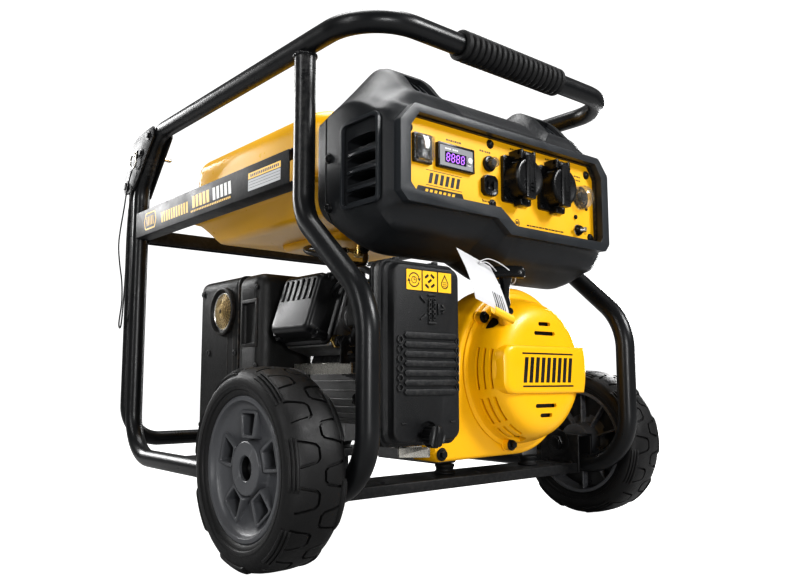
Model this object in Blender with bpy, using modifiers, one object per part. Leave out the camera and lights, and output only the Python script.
"""Portable generator: tube frame on two wheels, control box, tank, engine and alternator.

Design coordinates are millimetres: X to the generator's right, Y from front to
rear, measured from the lower front posts, Z up from the centre line of the
bottom tubes. finish() moves everything to metres, with the origin on the
ground under the middle of the whole object.
"""
import math

import bmesh
import bpy
from mathutils import Matrix, Vector

# ------------------------------------------------------------------ dimensions
GROUND = 85.0            # bottom tube centre line above the ground
CENTRE_Y = 342.0         # middle of the overall length
GAP = 0.4                # clearance between touching pieces

TUBE_R = 14.0            # frame tube
SIDE_X = 248.4           # frame tube centre planes
REAR_Y = 662.7           # rear posts
POST_Y = 132.6           # upper front posts
RAIL_Z = 558.9           # top rails and hoop
HOOP_Y = 2.8             # front hoop bar
HOOP_R = 75.0            # corner radius of the hoop
SLANT_TOP = (590.0, 558.9)
SLANT_LOW = (662.7, 470.0)
JOGGLE_LOW, JOGGLE_TOP = 217.0, 334.0
GRIP_HALF, GRIP_R = 98.0, 20.0

BAR_Z0, BAR_Z1 = 378.0, 423.0     # side bars
BAR_X = 262.4

AXLE_Y, AXLE_Z = 115.0, 30.0
AXLE_R = 8.0
TYRE_R, RIM_R = 115.0, 82.0
TYRE_X0, TYRE_X1 = 268.5, 344.5
FOOT_X, FOOT_Y = 120.0, 560.0

TOW_Y, TOW_Z = 692.0, 480.0       # tow handle pivot
TOW_R = 12.5
TOW_LOW = 25.0
PIN_Y, PIN_Z = 650.0, 531.0       # lock pin

PANEL_Y = 9.0                     # front face of the panel plate
BEZEL_Y = -7.0
BOX_REAR = 150.0
WALL = 4.0
LEFT_RISE = 20.0         # the belly is shallower left of the middle

CRANK_X, CRANK_Z = 68.0, 143.0    # crankshaft line, along Y
CYL_TILT = math.radians(18.0)
RECOIL_R = 102.0
ALT_R = 92.0

SOCKET_X = (12.0, 87.0)
SOCKET_Z = 398.0

# ------------------------------------------------------------------ scene
for obj in list(bpy.data.objects):
    bpy.data.objects.remove(obj, do_unlink=True)
PARTS = bpy.data.collections.new("portable_generator")
bpy.context.scene.collection.children.link(PARTS)


def material(name, colour, roughness, metallic=0.0):
    mat = bpy.data.materials.new(name)
    mat.use_nodes = True
    shader = mat.node_tree.nodes["Principled BSDF"]
    shader.inputs["Base Color"].default_value = (*colour, 1.0)
    shader.inputs["Roughness"].default_value = roughness
    shader.inputs["Metallic"].default_value = metallic
    mat.diffuse_color = (*colour, 1.0)
    return mat


BLACK_STEEL = ("black_steel", (0.022, 0.023, 0.025), 0.42, 0.0)
YELLOW_PAINT = ("yellow_paint", (0.90, 0.46, 0.005), 0.32, 0.0)
BLACK_PLASTIC = ("black_plastic", (0.028, 0.029, 0.031), 0.55, 0.0)
RUBBER = ("rubber", (0.016, 0.016, 0.017), 0.80, 0.0)
GREY_PLASTIC = ("grey_plastic", (0.13, 0.13, 0.135), 0.50, 0.0)
CAST_ALUMINIUM = ("cast_aluminium", (0.35, 0.36, 0.37), 0.45, 0.8)
ZINC = ("zinc", (0.62, 0.47, 0.20), 0.35, 1.0)
PALE = ("pale_plastic", (0.75, 0.75, 0.75), 0.45, 0.0)


# ------------------------------------------------------------------ shape tools
def link(mesh):
    obj = bpy.data.objects.new("work", mesh)
    bpy.context.scene.collection.objects.link(obj)
    return obj


def tidy(mesh, weld=0.002):
    """Weld loose seams and turn every face outward."""
    work = bmesh.new()
    work.from_mesh(mesh)
    bmesh.ops.remove_doubles(work, verts=work.verts, dist=weld)
    bmesh.ops.recalc_face_normals(work, faces=work.faces)
    work.to_mesh(mesh)
    work.free()
    return mesh


def baked(obj, matrix=None, weld=0.002):
    """The object's evaluated shape as a plain closed mesh object."""
    bpy.context.view_layer.update()
    graph = bpy.context.evaluated_depsgraph_get()
    mesh = bpy.data.meshes.new_from_object(obj.evaluated_get(graph))
    mesh.transform(obj.matrix_world)
    if matrix:
        mesh.transform(matrix)
    bpy.data.objects.remove(obj, do_unlink=True)
    return link(tidy(mesh, weld))


def from_bmesh(work):
    mesh = bpy.data.meshes.new("work")
    bmesh.ops.recalc_face_normals(work, faces=work.faces)
    work.to_mesh(mesh)
    work.free()
    return link(mesh)


def box(x0, x1, y0, y1, z0, z1, round_=0.0, segments=2):
    work = bmesh.new()
    size = Matrix.Diagonal((x1 - x0, y1 - y0, z1 - z0, 1.0))
    place = Matrix.Translation(((x0 + x1) / 2, (y0 + y1) / 2, (z0 + z1) / 2))
    bmesh.ops.create_cube(work, size=1.0, matrix=place @ size)
    if round_:
        bmesh.ops.bevel(work, geom=work.edges[:], offset=round_, segments=segments,
                        affect="EDGES", profile=0.5, clamp_overlap=True)
    return from_bmesh(work)


def rod(start, end, radius, sides=20, end_radius=None):
    """A cylinder or cone between two points."""
    start, end = Vector(start), Vector(end)
    turn = Vector((0, 0, 1)).rotation_difference(end - start).to_matrix().to_4x4()
    work = bmesh.new()
    bmesh.ops.create_cone(work, cap_ends=True, segments=sides, radius1=radius,
                          radius2=radius if end_radius is None else end_radius,
                          depth=(end - start).length,
                          matrix=Matrix.Translation((start + end) / 2) @ turn)
    return from_bmesh(work)


AXES = {  # local Z of a turned shape or an extrusion, to the world axis
    "X": Matrix(((0, 0, 1, 0), (1, 0, 0, 0), (0, 1, 0, 0), (0, 0, 0, 1))),
    "Y": Matrix(((1, 0, 0, 0), (0, 0, 1, 0), (0, 1, 0, 0), (0, 0, 0, 1))),
    "Z": Matrix.Identity(4),
}


def turned(profile, centre, axis="Z", steps=28, closed=True):
    """A profile of (radius, height) points turned about an axis through centre."""
    mesh = bpy.data.meshes.new("profile")
    points = [(r, 0.0, h) for r, h in profile]
    edges = [(i, i + 1) for i in range(len(points) - 1)]
    if closed:
        edges.append((len(points) - 1, 0))
    mesh.from_pydata(points, edges, [])
    obj = link(mesh)
    screw = obj.modifiers.new("Screw", "SCREW")
    screw.steps = screw.render_steps = steps
    screw.angle = math.tau
    screw.use_merge_vertices = True
    screw.merge_threshold = 0.0001
    return baked(obj, Matrix.Translation(centre) @ AXES[axis])


def plate(outline, axis, low, high):
    """A flat outline extruded along an axis. X takes (y, z) points, Y takes (x, z), Z takes (x, y)."""
    curve = bpy.data.curves.new("outline", "CURVE")
    curve.dimensions = "2D"
    curve.fill_mode = "BOTH"
    curve.extrude = (high - low) / 2
    spline = curve.splines.new("POLY")
    spline.points.add(len(outline) - 1)
    for point, (u, v) in zip(spline.points, outline):
        point.co = (u, v, 0.0, 1.0)
    spline.use_cyclic_u = True
    obj = link(curve)
    shift = Vector([(high + low) / 2 if name == axis else 0.0 for name in "XYZ"])
    return baked(obj, Matrix.Translation(shift) @ AXES[axis])


def fillet(corners, radii, steps=5):
    """Points along straight runs with an arc at each inner corner."""
    corners = [Vector(c) for c in corners]
    path = [corners[0]]
    for before, corner, after, radius in zip(corners, corners[1:], corners[2:], radii):
        into, out = (before - corner).normalized(), (after - corner).normalized()
        half = into.angle(out) / 2
        reach = radius / math.tan(half)
        centre = corner + (into + out).normalized() * (radius / math.sin(half))
        first = corner + into * reach - centre
        last = corner + out * reach - centre
        sweep = first.angle(last)
        axis = first.cross(last).normalized()
        for i in range(steps + 1):
            path.append(centre + Matrix.Rotation(sweep * i / steps, 3, axis) @ first)
    path.append(corners[-1])
    return path


def tube(points, radius, resolution=3):
    curve = bpy.data.curves.new("tube", "CURVE")
    curve.dimensions = "3D"
    curve.bevel_depth = radius
    curve.bevel_resolution = resolution
    curve.use_fill_caps = True
    spline = curve.splines.new("POLY")
    spline.points.add(len(points) - 1)
    for point, place in zip(spline.points, points):
        point.co = (*place, 1.0)
    return baked(link(curve))


def loft(sections, close_ends=True):
    """Skin between rings of points that all have the same count."""
    work = bmesh.new()
    rings = [[work.verts.new(p) for p in section] for section in sections]
    count = len(rings[0])
    for low, high in zip(rings, rings[1:]):
        for i in range(count):
            j = (i + 1) % count
            work.faces.new((low[i], low[j], high[j], high[i]))
    if close_ends:
        work.faces.new(rings[0])
        work.faces.new(rings[-1][::-1])
    bmesh.ops.triangulate(work, faces=[face for face in work.faces if len(face.verts) == 4])
    return from_bmesh(work)


def combine(base, others, operation):
    for other in others:
        cut = base.modifiers.new("Boolean", "BOOLEAN")
        cut.operation = operation
        cut.object = other
        cut.solver = "EXACT"
        base = baked(base, weld=0.001)
        bpy.data.objects.remove(other, do_unlink=True)
    return base


def join(base, *others):
    return combine(base, others, "UNION")


def cut(base, *others):
    return combine(base, others, "DIFFERENCE")


def turn_about(obj, matrix):
    obj.data.transform(matrix)
    if matrix.determinant() < 0:
        obj.data.flip_normals()
    return obj


def mirror_x(obj):
    """A left piece's twin on the right."""
    copy = link(obj.data.copy())
    return turn_about(copy, Matrix.Diagonal((-1, 1, 1, 1)))


MATERIALS = {}


def finish(name, obj, look, pivot=None, sharp=32.0):
    """Name the piece, move it to metres on the ground and set its origin."""
    place = Vector(pivot) if pivot else Vector((0, CENTRE_Y, -GROUND))
    mesh = obj.data
    mesh.transform(Matrix.Scale(0.001, 4) @ Matrix.Translation(-place))
    obj.location = (place - Vector((0, CENTRE_Y, -GROUND))) * 0.001
    obj.name = mesh.name = name
    if look[0] not in MATERIALS:
        MATERIALS[look[0]] = material(*look)
    mesh.materials.clear()
    mesh.materials.append(MATERIALS[look[0]])
    mesh.shade_smooth()
    mesh.set_sharp_from_angle(angle=math.radians(sharp))
    for collection in list(obj.users_collection):
        collection.objects.unlink(obj)
    PARTS.objects.link(obj)
    return obj


# ------------------------------------------------------------------ frame
slant = Vector((0, SLANT_LOW[0] - SLANT_TOP[0], SLANT_LOW[1] - SLANT_TOP[1])).normalized()
slant_mid = Vector((0, (SLANT_LOW[0] + SLANT_TOP[0]) / 2, (SLANT_LOW[1] + SLANT_TOP[1]) / 2))


def side_loop():
    start = slant_mid + slant * 0.3
    corners = [(start.y, start.z), SLANT_LOW, (REAR_Y, 0), (0, 0), (0, JOGGLE_LOW),
               (POST_Y, JOGGLE_TOP), (POST_Y, RAIL_Z - TUBE_R - GAP)]
    path = fillet([(-SIDE_X, y, z) for y, z in corners], (60, 75, 75, 90, 60))
    return tube(path, TUBE_R)


left = side_loop()
finish("frame_right_loop", mirror_x(left), BLACK_STEEL)
finish("frame_left_loop", left, BLACK_STEEL)

hoop_end = slant_mid - slant * 0.3
hoop = [(-SIDE_X, hoop_end.y, hoop_end.z), (-SIDE_X, *SLANT_TOP), (-SIDE_X, HOOP_Y, RAIL_Z),
        (SIDE_X, HOOP_Y, RAIL_Z), (SIDE_X, *SLANT_TOP), (SIDE_X, hoop_end.y, hoop_end.z)]
finish("frame_top_hoop", tube(fillet(hoop, (60, HOOP_R, HOOP_R, 60)), TUBE_R), BLACK_STEEL)

RIBS = 16
grip = [(TUBE_R + GAP, -GRIP_HALF), (GRIP_R - 1, -GRIP_HALF)]
for i in range(RIBS):
    at = -GRIP_HALF + 6 + i * (2 * GRIP_HALF - 12) / RIBS
    step = (2 * GRIP_HALF - 12) / RIBS
    grip += [(GRIP_R - 2, at), (GRIP_R, at + step * 0.3), (GRIP_R, at + step * 0.7)]
grip += [(GRIP_R - 2, GRIP_HALF - 6), (GRIP_R - 1, GRIP_HALF), (TUBE_R + GAP, GRIP_HALF)]
finish("handle_grip", turned(grip, (0, HOOP_Y, RAIL_Z), "X", 16), RUBBER, sharp=50)


def side_bar():
    y0, y1 = POST_Y + TUBE_R + GAP, REAR_Y - TUBE_R - GAP
    bar = box(-BAR_X, -BAR_X + 27, y0, y1, BAR_Z0, BAR_Z1)
    return cut(bar, box(-BAR_X + 2.5, -BAR_X + 40, y0 - 5, y1 + 5, BAR_Z0 + 2.5, BAR_Z1 - 2.5))


left = side_bar()
finish("side_bar_right", mirror_x(left), BLACK_STEEL)
finish("side_bar_left", left, BLACK_STEEL)

inner = SIDE_X - TUBE_R - GAP
rail = cut(box(-inner, inner, REAR_Y - 13, REAR_Y + 11, 374, 398),
           box(-inner - 5, inner + 5, REAR_Y - 10, REAR_Y + 8, 370, 395))
finish("rear_cross_rail", rail, BLACK_STEEL)

base = cut(box(-229.6, 229.6, 80, 152, -14, 0), box(-235, 235, 83, 149, -18, -3))
for x in (CRANK_X - 88, CRANK_X + 88):
    base = join(base, rod((x, 118, -1), (x, 118, 13.6), 15, 16, 12))
finish("front_base_rail", base, BLACK_STEEL)

leg = cut(box(-inner, inner, 525, 595, -14, 0), box(-inner - 5, inner + 5, 528, 592, -18, -3))
for x in (-FOOT_X, FOOT_X):
    leg = join(leg, box(x - 14, x + 14, FOOT_Y - 14, FOOT_Y + 14, -62, -2))
leg = join(leg, box(-FOOT_X, FOOT_X, FOOT_Y - 3, FOOT_Y + 3, -52, -30))
for x in (CRANK_X - 55, CRANK_X + 55):
    leg = join(leg, rod((x, 545, -1), (x, 545, 13.6), 15, 16, 12))
finish("rear_leg", leg, BLACK_STEEL)
for side, x in (("left", -FOOT_X), ("right", FOOT_X)):
    foot = turned([(0, -62 - GAP), (18, -62 - GAP), (22, -76), (22, -83), (20, -GROUND), (0, -GROUND)],
                  (x, FOOT_Y, 0), "Z", 20, closed=False)
    finish("foot_" + side, foot, RUBBER)


# ------------------------------------------------------------------ wheels
def axle_bracket():
    bracket = box(-266.9, -230.1, 78, 152, -14, 44)
    bracket = cut(bracket, box(-262.9, -234.0, 70, 160, -20, 40))
    return cut(bracket, rod((-280, AXLE_Y, AXLE_Z), (-220, AXLE_Y, AXLE_Z), AXLE_R + GAP, 20))


def axle_bolt():
    bolt = rod((-219, AXLE_Y, AXLE_Z), (-338, AXLE_Y, AXLE_Z), AXLE_R, 20)
    nut = rod((-221, AXLE_Y, AXLE_Z), (-229.7, AXLE_Y, AXLE_Z), 13, 6)
    return join(bolt, nut, rod((-331, AXLE_Y, AXLE_Z), (-334, AXLE_Y, AXLE_Z), 12.8, 20))


RIM = [(AXLE_R + GAP, 270), (AXLE_R + GAP, 329), (13.6, 330), (13.6, 339), (29, 339), (31, 324),
       (70, 324), (73, 339), (RIM_R, 339), (RIM_R, 275), (76, 275), (76, 308), (30, 308), (27, 270)]
TYRE = [(RIM_R + GAP, 276), (RIM_R + GAP, 338), (92, TYRE_X1), (106, 342), (TYRE_R, 328),
        (TYRE_R, 285), (106, 271), (92, TYRE_X0)]
for side, sign in (("left", -1), ("right", 1)):
    hub = (0, AXLE_Y, AXLE_Z)
    bracket, bolt = axle_bracket(), axle_bolt()
    rim, tyre = turned(RIM, hub, "X", 28), turned(TYRE, hub, "X", 32)
    flip = Matrix.Diagonal((-1, 1, 1, 1))
    for piece in ((bracket, bolt) if sign > 0 else (rim, tyre)):
        turn_about(piece, flip)
    pivot = (sign * 306, AXLE_Y, AXLE_Z)
    finish("axle_bracket_" + side, bracket, BLACK_STEEL)
    finish("axle_bolt_" + side, bolt, BLACK_STEEL)
    finish("rim_" + side, rim, GREY_PLASTIC, pivot)
    finish("tyre_" + side, tyre, RUBBER, pivot)
# ------------------------------------------------------------------ tow handle
OUTER_PLATE = [(578, 566), (640, 562), (669, 553), (679, 536), (704, 490), (706, 476), (697, 466),
               (683, 464), (655, 470), (618, 507), (578, 547)]
INNER_PLATE = [(578, 566), (640, 562), (669, 553), (679, 536), (704, 490), (706, 476), (697, 466),
               (683, 460), (662, 456), (575, 549)]
TOP_WEB = [(608, 567), (669, 555), (669, 552), (608, 564)]


def tow_bracket():
    bracket = plate(OUTER_PLATE, "X", -265.8, -262.8)
    bracket = join(bracket, plate(TOP_WEB, "X", -265.5, -231.5), plate(INNER_PLATE, "X", -234.0, -231.2))
    bracket = join(bracket, rod((-269, TOW_Y, TOW_Z), (-228, TOW_Y, TOW_Z), 5, 14),
                   rod((-265, TOW_Y, TOW_Z), (-270, TOW_Y, TOW_Z), 9, 6),
                   rod((-232, TOW_Y, TOW_Z), (-227, TOW_Y, TOW_Z), 9, 6))
    return cut(bracket, rod((-280, PIN_Y, PIN_Z), (-220, PIN_Y, PIN_Z), 4.5, 14))


bracket = tow_bracket()
finish("tow_bracket_right", mirror_x(bracket), BLACK_STEEL)
finish("tow_bracket_left", bracket, BLACK_STEEL)

handle = tube(fillet([(-SIDE_X, TOW_Y, TOW_Z + 6), (-SIDE_X, TOW_Y, TOW_LOW), (SIDE_X, TOW_Y, TOW_LOW),
                      (SIDE_X, TOW_Y, TOW_Z + 6)], (60, 60)), TOW_R)
handle = cut(handle, rod((-280, TOW_Y, TOW_Z), (-220, TOW_Y, TOW_Z), 5 + GAP, 14),
             rod((220, TOW_Y, TOW_Z), (280, TOW_Y, TOW_Z), 5 + GAP, 14))
finish("tow_handle", handle, BLACK_STEEL, (0, TOW_Y, TOW_Z))

pin = rod((-272, PIN_Y, PIN_Z), (-200, PIN_Y, PIN_Z), 4, 14)
pin = join(pin, rod((-266.2, PIN_Y, PIN_Z), (-268.2, PIN_Y, PIN_Z), 7, 14))
ring = turned([(13 + 1.5 * math.cos(math.tau * i / 6), 1.5 * math.sin(math.tau * i / 6)) for i in range(6)],
              (-270.4, PIN_Y + 2, PIN_Z - 13), "X", 18)
pin = join(pin, ring)
finish("lock_pin", pin, ZINC, (-236, PIN_Y, PIN_Z))

# ------------------------------------------------------------------ fuel
tank = box(-205, 205, 158, 573, 398, 508, 22, 3)


def rounded_rect(x, y0, y1, z, r, steps=4):
    points = []
    for cx, cy, start in ((x - r, y1 - r, 0), (-x + r, y1 - r, 90), (-x + r, y0 + r, 180), (x - r, y0 + r, 270)):
        for i in range(steps + 1):
            a = math.radians(start + 90 * i / steps)
            points.append((cx + r * math.cos(a), cy + r * math.sin(a), z))
    return points


tank = join(tank, loft([rounded_rect(167, 190, 560, 362, 24), rounded_rect(201, 162, 569, 405, 24),
                        rounded_rect(201, 162, 569, 440, 24)]))
tank = join(tank, loft([rounded_rect(78, 200, 552, 346, 20), rounded_rect(86, 192, 558, 370, 20)]))
tank = join(tank, loft([rounded_rect(188, 176, 555, 505, 30), rounded_rect(120, 220, 510, 518, 40)]))
tank = join(tank, rod((0, 365, 510), (0, 365, 527), 26, 20))
tank = cut(tank, rod((0, 365, 470), (0, 365, 530), 20, 20))
finish("fuel_tank", tank, YELLOW_PAINT)

CAP = [(0, 548), (26, 548), (32, 543), (33, 527), (33, 521), (27, 521), (27, 527.6), (0, 527.6)]
finish("fuel_cap", turned(CAP, (0, 365, 0), "Z", 24, closed=False), BLACK_PLASTIC, (0, 365, 530))

VALVE = (-60, 262)
valve = join(rod((VALVE[0], VALVE[1], 345.6), (VALVE[0], VALVE[1], 318), 9, 14),
             rod((VALVE[0], VALVE[1], 326), (VALVE[0] - 22, VALVE[1], 326), 4, 10))
finish("fuel_valve", valve, BLACK_PLASTIC)
lever = join(rod((VALVE[0], VALVE[1] - 9.4, 330), (VALVE[0], VALVE[1] - 17, 330), 7, 12),
             box(VALVE[0] - 4, VALVE[0] + 4, VALVE[1] - 17, VALVE[1] - 13, 306, 334))
finish("fuel_valve_lever", lever, BLACK_PLASTIC, (VALVE[0], VALVE[1] - 13, 330))

# ------------------------------------------------------------------ control box
RING = [(-206, 435), (-184, 459), (184, 459), (206, 435), (206, 330), (196, 319), (-14, 319),
        (-40, 338), (-194, 338), (-206, 350)]
OPENING = [(-190, 430), (-176, 449), (176, 449), (190, 430), (190, 340), (184, 332), (-3, 332),
           (-34, 353), (-182, 353), (-190, 361)]
PANEL = [(-189, 429), (-175.4, 448), (175.4, 448), (189, 429), (189, 341), (183.4, 333), (-2.6, 333),
         (-33.6, 354), (-181.4, 354), (-189, 362)]
# distance back, half width, bottom, bottom corner radius, side top, shoulder top, saddle top
BODY = [(24, 216, 290, 34, 452, 490, 478), (55, 220, 271, 60, 468, 521, 505),
        (82, 220, 268, 62, 474, 536, 518), (115, 219, 286, 50, 470, 527, 511),
        (BOX_REAR, 216, 313, 32, 462, 506, 496)]


def body_outline(half, low, corner, side, shoulder, saddle):
    """Section across the box: two raised shoulders on top, and a belly deeper on the right."""
    def left_half(bottom):
        points = []
        for i in range(5):
            a = math.radians(270 - 90 * i / 4)
            points.append((-half + corner + corner * math.cos(a), bottom + corner + corner * math.sin(a)))
        return points + [(-half, side), (-half + 14, side + 14), (-166, shoulder), (-100, shoulder), (-86, saddle)]
    right = [(-x, z) for x, z in reversed(left_half(low))]
    return left_half(low + LEFT_RISE) + right + [(0, low), (-45, low + LEFT_RISE)]


def ray_ring(outline, count, centre=(0.0, 395.0)):
    """Where count evenly turned rays from the centre meet the outline."""
    found = []
    for i in range(count):
        a = math.tau * (i + 0.5) / count
        dx, dz = math.cos(a), math.sin(a)
        best = 0.0
        for (x0, z0), (x1, z1) in zip(outline, outline[1:] + outline[:1]):
            ex, ez = x1 - x0, z1 - z0
            det = dx * -ez + ex * dz
            if abs(det) < 1e-9:
                continue
            px, pz = x0 - centre[0], z0 - centre[1]
            t = (px * -ez + ex * pz) / det
            s = (dx * pz - dz * px) / det
            if -1e-6 <= s <= 1 + 1e-6 and t > best:
                best = t
        found.append((centre[0] + best * dx, centre[1] + best * dz))
    return found


def box_skin(inset, count=44, front=True):
    rings = []
    if front:
        rings.append([(x, BEZEL_Y, z) for x, z in ray_ring(RING, count)])
        rings.append([(x * 1.012, 2.0, 389 + (z - 389) * 1.03) for x, z in ray_ring(RING, count)])
    for y, half, low, corner, side, shoulder, saddle in BODY:
        outline = body_outline(half - inset, low + inset, corner, side - inset / 2, shoulder - inset, saddle - inset)
        reach = y if y < BOX_REAR or front else BOX_REAR + 20
        rings.append([(x, reach, z) for x, z in ray_ring(outline, count)])
    return rings


housing = loft(box_skin(0))
housing = cut(housing, loft(box_skin(WALL, front=False)))
housing = cut(housing, plate(OPENING, "Y", -12, 11.3))
SMALLER = [(x * 0.96, 394 + (z - 394) * 0.9) for x, z in OPENING]
housing = cut(housing, plate(SMALLER, "Y", 5, 30))
for z in (356, 380, 404, 428):
    housing = cut(housing, box(-240, -205, 18, 88, z - 5, z + 6), box(205, 240, 18, 88, z - 5, z + 6))
finish("control_housing", housing, BLACK_PLASTIC)

rear = BODY[-1]
cover = ray_ring(body_outline(rear[1] - 5, rear[2] + 5, rear[3], rear[4] - 3, rear[5] - 5.5, rear[6] - 5.5), 44)
finish("control_back_cover", plate(cover, "Y", BOX_REAR - 6, BOX_REAR - 3), BLACK_PLASTIC)

panel = plate(PANEL, "Y", PANEL_Y, PANEL_Y + 2)
SWITCH = (-160, 410)
METER = (-136, -72, 392, 424)
panel = cut(panel, box(SWITCH[0] - 12.5, SWITCH[0] + 12.5, 0, 20, SWITCH[1] - 15.5, SWITCH[1] + 15.5),
            rod((-40, 0, 413), (-40, 20, 413), 8, 18), rod((158, 0, 398), (158, 20, 398), 9, 18))
panel = join(panel, rod((150, -6, 348), (150, 10, 348), 3, 12))
finish("panel_plate", panel, YELLOW_PAINT)

rocker = join(box(SWITCH[0] - 12, SWITCH[0] + 12, 2, 26, SWITCH[1] - 15, SWITCH[1] + 15, 2, 1))
finish("switch_rocker", rocker, BLACK_PLASTIC, (SWITCH[0], 12, SWITCH[1]))
meter = cut(box(METER[0], METER[1], 3, PANEL_Y - GAP, METER[2], METER[3], 1.5, 1),
            rod((-81, 0, 408), (-81, 7, 408), 4.4, 14))
finish("meter_module", meter, BLACK_PLASTIC)
finish("meter_button", rod((-81, 1.2, 408), (-81, 5.8, 408), 4, 14), PALE, (-81, 3.5, 408))
dc_button = join(rod((-40, -6, 413), (-40, 22, 413), 5.5, 18), rod((-40, 12, 413), (-40, 24, 413), 7.4, 18))
finish("dc_breaker_button", dc_button, BLACK_PLASTIC, (-40, 9, 413))
outlet = cut(box(-55, -29, 2, PANEL_Y - GAP, 369, 396, 4, 2),
             box(-49, -46, 0, 6, 379, 387), box(-39, -36, 0, 6, 379, 387))
finish("dc_outlet", outlet, BLACK_PLASTIC)

LID_Y = -13.0
for side, x in zip(("left", "right"), SOCKET_X):
    base = join(box(x - 28, x + 28, 4, PANEL_Y - GAP, SOCKET_Z - 32, SOCKET_Z + 32, 2, 1),
                rod((x, 6, SOCKET_Z), (x, LID_Y + GAP, SOCKET_Z), 25, 28))
    base = cut(base, rod((x, -20, SOCKET_Z), (x, 1, SOCKET_Z), 21, 24))
    for dx in (-9.5, 9.5):
        base = cut(base, rod((x + dx, -5, SOCKET_Z), (x + dx, 7, SOCKET_Z), 2.5, 10))
    base = join(base, box(x - 15, x - 10, -17, 7, SOCKET_Z + 25, SOCKET_Z + 38),
                box(x + 10, x + 15, -17, 7, SOCKET_Z + 25, SOCKET_Z + 38))
    base = cut(base, rod((x - 20, -12, SOCKET_Z + 33), (x + 20, -12, SOCKET_Z + 33), 2.4, 10))
    finish("socket_" + side, base, BLACK_PLASTIC)
    lid = join(rod((x, LID_Y, SOCKET_Z), (x, LID_Y - 7, SOCKET_Z), 26.5, 28, 24),
               box(x - 9.4, x + 9.4, LID_Y - 9, LID_Y, SOCKET_Z - 29, SOCKET_Z + 30),
               rod((x - 9.4, -12, SOCKET_Z + 33), (x + 9.4, -12, SOCKET_Z + 33), 4.4, 12),
               box(x - 9.4, x + 9.4, -19, -12, SOCKET_Z + 26, SOCKET_Z + 34),
               rod((x - 15, -12, SOCKET_Z + 33), (x + 15, -12, SOCKET_Z + 33), 2, 10))
    finish("socket_lid_" + side, lid, BLACK_PLASTIC, (x, -12, SOCKET_Z + 33))

toggle = join(rod((158, 5, 398), (158, 18, 398), 8, 16), box(155, 161, -3, 10, 392, 404, 1.5, 1))
finish("ac_breaker_toggle", toggle, BLACK_PLASTIC, (158, 12, 398))
nut = rod((150, 3, 348), (150, PANEL_Y - GAP, 348), 6.5, 14, 8)
nut = join(nut, box(137, 163, 1.5, 5.5, 345, 351, 1.5, 1))
nut = cut(nut, rod((150, -5, 348), (150, 12, 348), 3.4, 12))
finish("ground_wing_nut", nut, ZINC, (150, 5, 348))

# ------------------------------------------------------------------ engine
def along(u, y, v):
    """Distance u out along the tilted cylinder and v above its axis, to design coordinates."""
    return Vector((CRANK_X - u * math.cos(CYL_TILT) + v * math.sin(CYL_TILT), y,
                   CRANK_Z + u * math.sin(CYL_TILT) + v * math.cos(CYL_TILT)))


TILTED = Matrix.Translation((CRANK_X, 0, CRANK_Z)) @ Matrix.Rotation(CYL_TILT, 4, "Y")


def tilted_box(u0, u1, y0, y1, v0, v1, round_=0.0, segments=2):
    return turn_about(box(-u1, -u0, y0, y1, v0, v1, round_, segments), TILTED)


CYL_Y = (158, 264)
engine = box(CRANK_X - 98, CRANK_X + 96, 112, 256, 34, 226, 18, 2)
engine = join(engine, tilted_box(70, 254, CYL_Y[0] + 10, CYL_Y[1] - 10, -42, 44))
for i in range(8):
    u = 112 + i * 13
    engine = join(engine, tilted_box(u, u + 4, CYL_Y[0], CYL_Y[1], -56, 58))
engine = join(engine, tilted_box(212, 254.6, CYL_Y[0] - 2, CYL_Y[1] + 2, -50, 52, 4, 1))
for x in (CRANK_X - 88, CRANK_X + 88):
    engine = join(engine, box(x - 18, x + 18, 112, 246, 14, 48, 3, 1))
engine = cut(engine, rod((CRANK_X, 100, CRANK_Z), (CRANK_X, 270, CRANK_Z), 17, 20))
engine = cut(engine, rod((CRANK_X, 140, CRANK_Z), (CRANK_X, 232, CRANK_Z), 48, 20))
NECK = (Vector((-24, 205, 60)), Vector((-92, 205, 96)))
engine = join(engine, rod(NECK[0], NECK[1], 10, 14))
finish("engine_block", engine, CAST_ALUMINIUM)

cover = join(tilted_box(255, 292, CYL_Y[0] + 2, CYL_Y[1] - 2, -44, 46, 12, 2),
             tilted_box(255, 260, CYL_Y[0] - 2, CYL_Y[1] + 2, -49, 51, 2, 1))
finish("valve_cover", cover, BLACK_STEEL)

spark = join(rod((-178, CYL_Y[0] - 2.4, 180), (-178, 118, 180), 7.5, 12, 6),
             rod((-178, 122, 180), (-178, 114, 196), 5, 10))
finish("spark_plug_cap", spark, RUBBER)

out = (NECK[1] - NECK[0]).normalized()
seat = NECK[1] + out * GAP
dip = join(rod(seat, seat + out * 9, 13, 12), rod(seat + out * 8, seat + out * 22, 6, 6))
finish("dipstick", dip, BLACK_PLASTIC, seat)

# crank line: flywheel in front, rotor behind, one rotating group
SHAFT = [(0, 92), (10, 92), (10, 94), (86, 94), (86, 110), (14, 110), (14, 142), (44, 144), (44, 160),
         (14, 162), (14, 290), (52, 292), (52, 470), (12, 472), (12, 532), (0, 532)]
finish("crankshaft_rotor", turned(SHAFT, (CRANK_X, 0, CRANK_Z), "Y", 20, closed=False), CAST_ALUMINIUM,
       (CRANK_X, 100, CRANK_Z))

# front of the engine: blower shroud, recoil starter
shroud = [(CRANK_X + 118 * math.cos(math.radians(a)), CRANK_Z + 118 * math.sin(math.radians(a)))
          for a in range(-90, 171, 10)]
shroud += [(-50, 128), (-92, 96), (-92, 34), (-80, 23)]
inside = [(CRANK_X + (x - CRANK_X) * 0.965, CRANK_Z + (z - CRANK_Z) * 0.965) for x, z in shroud]
shell = cut(plate(shroud, "Y", 60, 111), plate(inside, "Y", 63, 115),
            rod((CRANK_X, 50, CRANK_Z), (CRANK_X, 70, CRANK_Z), 84, 32))
finish("blower_shroud", shell, YELLOW_PAINT)

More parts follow.
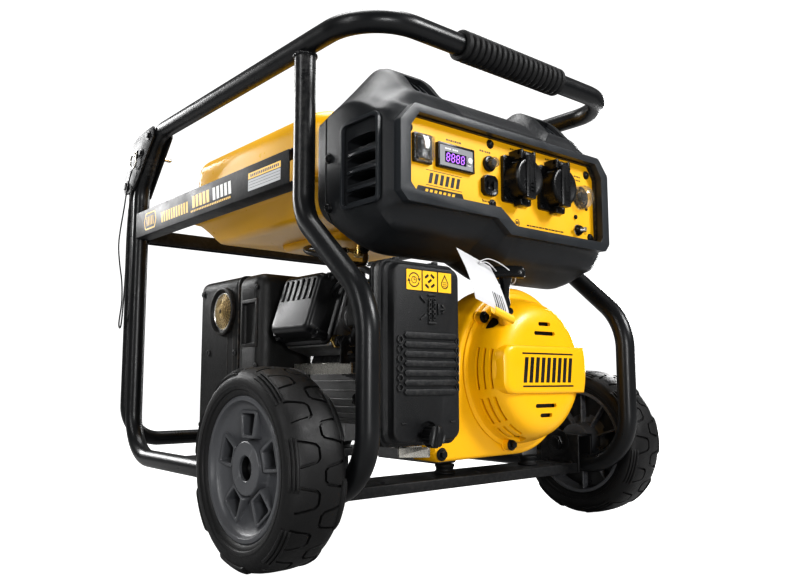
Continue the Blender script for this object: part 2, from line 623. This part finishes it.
DOME = [(0, 10), (66, 10), (86, 15), (96, 26), (101, 42), (RECOIL_R, 59.6), (0, 59.6)]
HOLLOW = [(0, 14), (64, 14), (82, 19), (92, 29), (97, 44), (98, 66), (0, 66)]
band = [(CRANK_X + s * 99 * math.cos(math.radians(a)), CRANK_Z + 99 * math.sin(math.radians(a)))
        for s, angles in ((1, range(-19, 20, 6)), (-1, range(19, -20, -6))) for a in angles]
dome = join(turned(DOME, (CRANK_X, 0, CRANK_Z), "Y", 36, closed=False), plate(band, "Y", 4.5, 40))
ROPE = Vector((2, 22, 221))
dome = join(dome, rod(ROPE + Vector((12, 10, -22)), ROPE, 11, 14))
dome = cut(dome, turned(HOLLOW, (CRANK_X, 0, CRANK_Z), "Y", 36, closed=False))
dome = cut(dome, rod(ROPE + Vector((18, 15, -33)), ROPE + Vector((-2, -1, 3)), 3.5, 10))
for dz, half in ((62, 11), (50, 19), (-48, 19), (-60, 11)):
    dome = cut(dome, box(CRANK_X + 4 - half, CRANK_X + 4 + half, 5, 30, CRANK_Z + dz - 2, CRANK_Z + dz + 2))
dome = join(dome, rod((CRANK_X, 12, CRANK_Z), (CRANK_X, 48, CRANK_Z), 7, 14))
finish("recoil_cover", dome, YELLOW_PAINT)

PULLEY = [(7 + GAP, 20), (48, 20), (48, 24), (43, 28), (43, 36), (48, 40), (48, 44), (7 + GAP, 44)]
finish("starter_pulley", turned(PULLEY, (CRANK_X, 0, CRANK_Z), "Y", 28), BLACK_PLASTIC, (CRANK_X, 32, CRANK_Z))

stem_low, stem_top = ROPE + Vector((-1, -1, 3)), Vector((-10, 9, 272))
pull = rod(stem_low, stem_top, 7, 14, 8)
bar = box(-26, 26, -8, 8, -9, 8, 6, 2)
pull = join(pull, turn_about(bar, Matrix.Translation((-10, 9, 272)) @ Matrix.Rotation(math.radians(-55), 4, "Z")))
finish("recoil_grip", pull, BLACK_PLASTIC, ROPE)

# alternator
ALT = [(18, 262), (ALT_R, 262), (ALT_R, 515), (82, 546), (16, 546), (16, 480), (58, 476), (58, 286), (18, 282)]
alternator = turned(ALT, (CRANK_X, 0, CRANK_Z), "Y", 36)
foot = cut(box(CRANK_X - 70, CRANK_X + 70, 520, 560, 14, 84), box(CRANK_X - 38, CRANK_X + 38, 510, 570, 10, 62),
           rod((CRANK_X, 500, CRANK_Z), (CRANK_X, 570, CRANK_Z), 70, 32))
finish("alternator_housing", join(alternator, foot), CAST_ALUMINIUM)


# ------------------------------------------------------------------ air cleaner, carburettor
def cover_ring(x0, x1, z0, z1, y, r, inset=0.0):
    x0, x1, z0, z1, r = x0 + inset, x1 - inset, z0 + inset, z1 - inset, max(r - inset, 2)
    points = []
    for cx, cz, start in ((x1 - r, z1 - r, 0), (x0 + r, z1 - r, 90), (x0 + r, z0 + r, 180), (x1 - r, z0 + r, 270)):
        for i in range(5):
            a = math.radians(start + 22.5 * i)
            points.append((cx + r * math.cos(a), y, cz + r * math.sin(a)))
    return points


FACE = (-201, -94, 57, 267)
LIP = (-211, -84, 51, 273)
cover = loft([cover_ring(*FACE, 12, 12, 3), cover_ring(*FACE, 15, 14), cover_ring(*LIP, 30, 16), cover_ring(*LIP, 38, 16)])
cover = cut(cover, loft([cover_ring(*FACE, 15, 14, 3), cover_ring(*LIP, 30, 16, 3), cover_ring(*LIP, 42, 16, 3)]))
KNOB = (-148, 63)
cover = cut(cover, rod((KNOB[0], 0, KNOB[1]), (KNOB[0], 45, KNOB[1]), 3.5, 12))
finish("air_cleaner_cover", cover, BLACK_PLASTIC)
knob = join(rod((KNOB[0], -7, KNOB[1]), (KNOB[0], 11.6, KNOB[1]), 13.5, 18), rod((KNOB[0], 10, KNOB[1]), (KNOB[0], 36, KNOB[1]), 3, 12))
finish("air_cleaner_knob", knob, BLACK_PLASTIC, (KNOB[0], 0, KNOB[1]))
case = loft([cover_ring(*LIP, 38 + GAP, 16), cover_ring(*LIP, 46, 16), cover_ring(*FACE, 58, 16)])
case = cut(case, loft([cover_ring(*LIP, 36, 16, 3), cover_ring(*LIP, 44, 16, 3), cover_ring(*FACE, 54, 14, 3)]))
case = cut(case, rod((-152, 50, 218), (-152, 60, 218), 14, 18))
finish("air_cleaner_case", case, BLACK_PLASTIC)
finish("air_filter", box(-190, -106, 20, 50, 90, 254, 3, 1), PALE)

carb = join(box(-170, -134, 78, 150, 198, 240, 4, 1), rod((-152, 58 + GAP, 218), (-152, 80, 218), 18, 18),
            rod((-152, 148, 212), (-152, CYL_Y[0] - 2.6, 212), 20, 18),
            rod((-152, 112, 168), (-152, 112, 200), 17, 18, 18))
finish("carburettor", carb, CAST_ALUMINIUM)
choke = join(rod((-170.4, 92, 226), (-177, 92, 226), 6, 12), box(-177, -174.5, 89, 95, 224, 252))
finish("choke_lever", choke, BLACK_PLASTIC, (-174, 92, 226))

hose = [(-82.8, 262, 326), (-104, 262, 325), (-140, 258, 323), (-172, 240, 316), (-188, 212, 306), (-187, 182, 297),
        (-180, 156, 286), (-170, 134, 272), (-160, 119, 258), (-153, 112.5, 250), (-152, 112, 241)]
finish("fuel_hose", tube(hose, 4.0, 2), RUBBER)

muffler = box(-216, -118, 350, 487, 38, 286, 16, 2)
muffler = join(muffler, box(-222, -126, 281, 352, 44, 284, 20, 2), rod((-149, CYL_Y[1] + 2.6, 203), (-149, 300, 203), 14, 16),
               rod((-210, 412, 234), (-221, 412, 234), 27, 24))
finish("muffler", muffler, BLACK_STEEL)

# ------------------------------------------------------------------ lanyard from the lock pin to the bracket
LANYARD = [(-270.4, 656, 502.5), (-271, 663, 492), (-271, 675, 471), (-270, 688, 440), (-270, 703, 400), (-270, 708, 372), (-270, 700, 340),
           (-270, 686, 305), (-270, 682, 270), (-270, 688, 246), (-270, 692, 230), (-270, 688, 222), (-270, 681, 228),
           (-270, 675, 262), (-269, 672, 320), (-269, 672, 380), (-268.6, 669, 430), (-268, 664, 462), (-267.4, 661, 475)]


def smooth_path(points, count):
    """Points on one Catmull-Rom curve through the route."""
    pts = [Vector(p) for p in points]
    pts = [pts[0] * 2 - pts[1]] + pts + [pts[-1] * 2 - pts[-2]]
    out = []
    spans = len(pts) - 3
    for n in range(count):
        t = n / (count - 1) * spans
        i = min(int(t), spans - 1)
        t -= i
        a, b, c, d = pts[i:i + 4]
        out.append(0.5 * (2 * b + (c - a) * t + (2 * a - 5 * b + 4 * c - d) * t * t + (3 * b - a - 3 * c + d) * t ** 3))
    return out


finish("lanyard", tube(smooth_path(LANYARD, 60), 1.3, 2), RUBBER)
